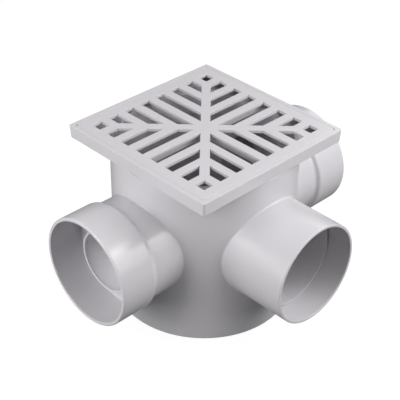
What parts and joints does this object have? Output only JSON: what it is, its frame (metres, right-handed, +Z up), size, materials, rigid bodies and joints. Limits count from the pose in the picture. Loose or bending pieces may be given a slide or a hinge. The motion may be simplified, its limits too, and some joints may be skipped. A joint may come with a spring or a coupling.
{
  "type": "gully trap",
  "caption": "Round drainage gully trap with a square slotted grate, socket inlets on both sides, a spigot outlet and a dipping trap bend inside.",
  "frame": {"origin": "on the chamber's axis, at its bottom face", "axes": "+Z up, +X along the outlet, the inlets along +Y and -Y"},
  "size_m": [0.2583, 0.329, 0.201],
  "materials": {
    "body_pvc": "moulded, half gloss",
    "frame_pvc": "moulded, half gloss",
    "grate_pvc": "moulded, half gloss",
    "bend_pvc": "moulded, half gloss",
    "seal_rubber": "matt"
  },
  "bodies": {
    "root": {"body": "body_pvc", "frame": "frame_pvc", "grate": "grate_pvc", "trap_bend": "bend_pvc", "bend_seal": "seal_rubber"}
  },
  "joints": []
}
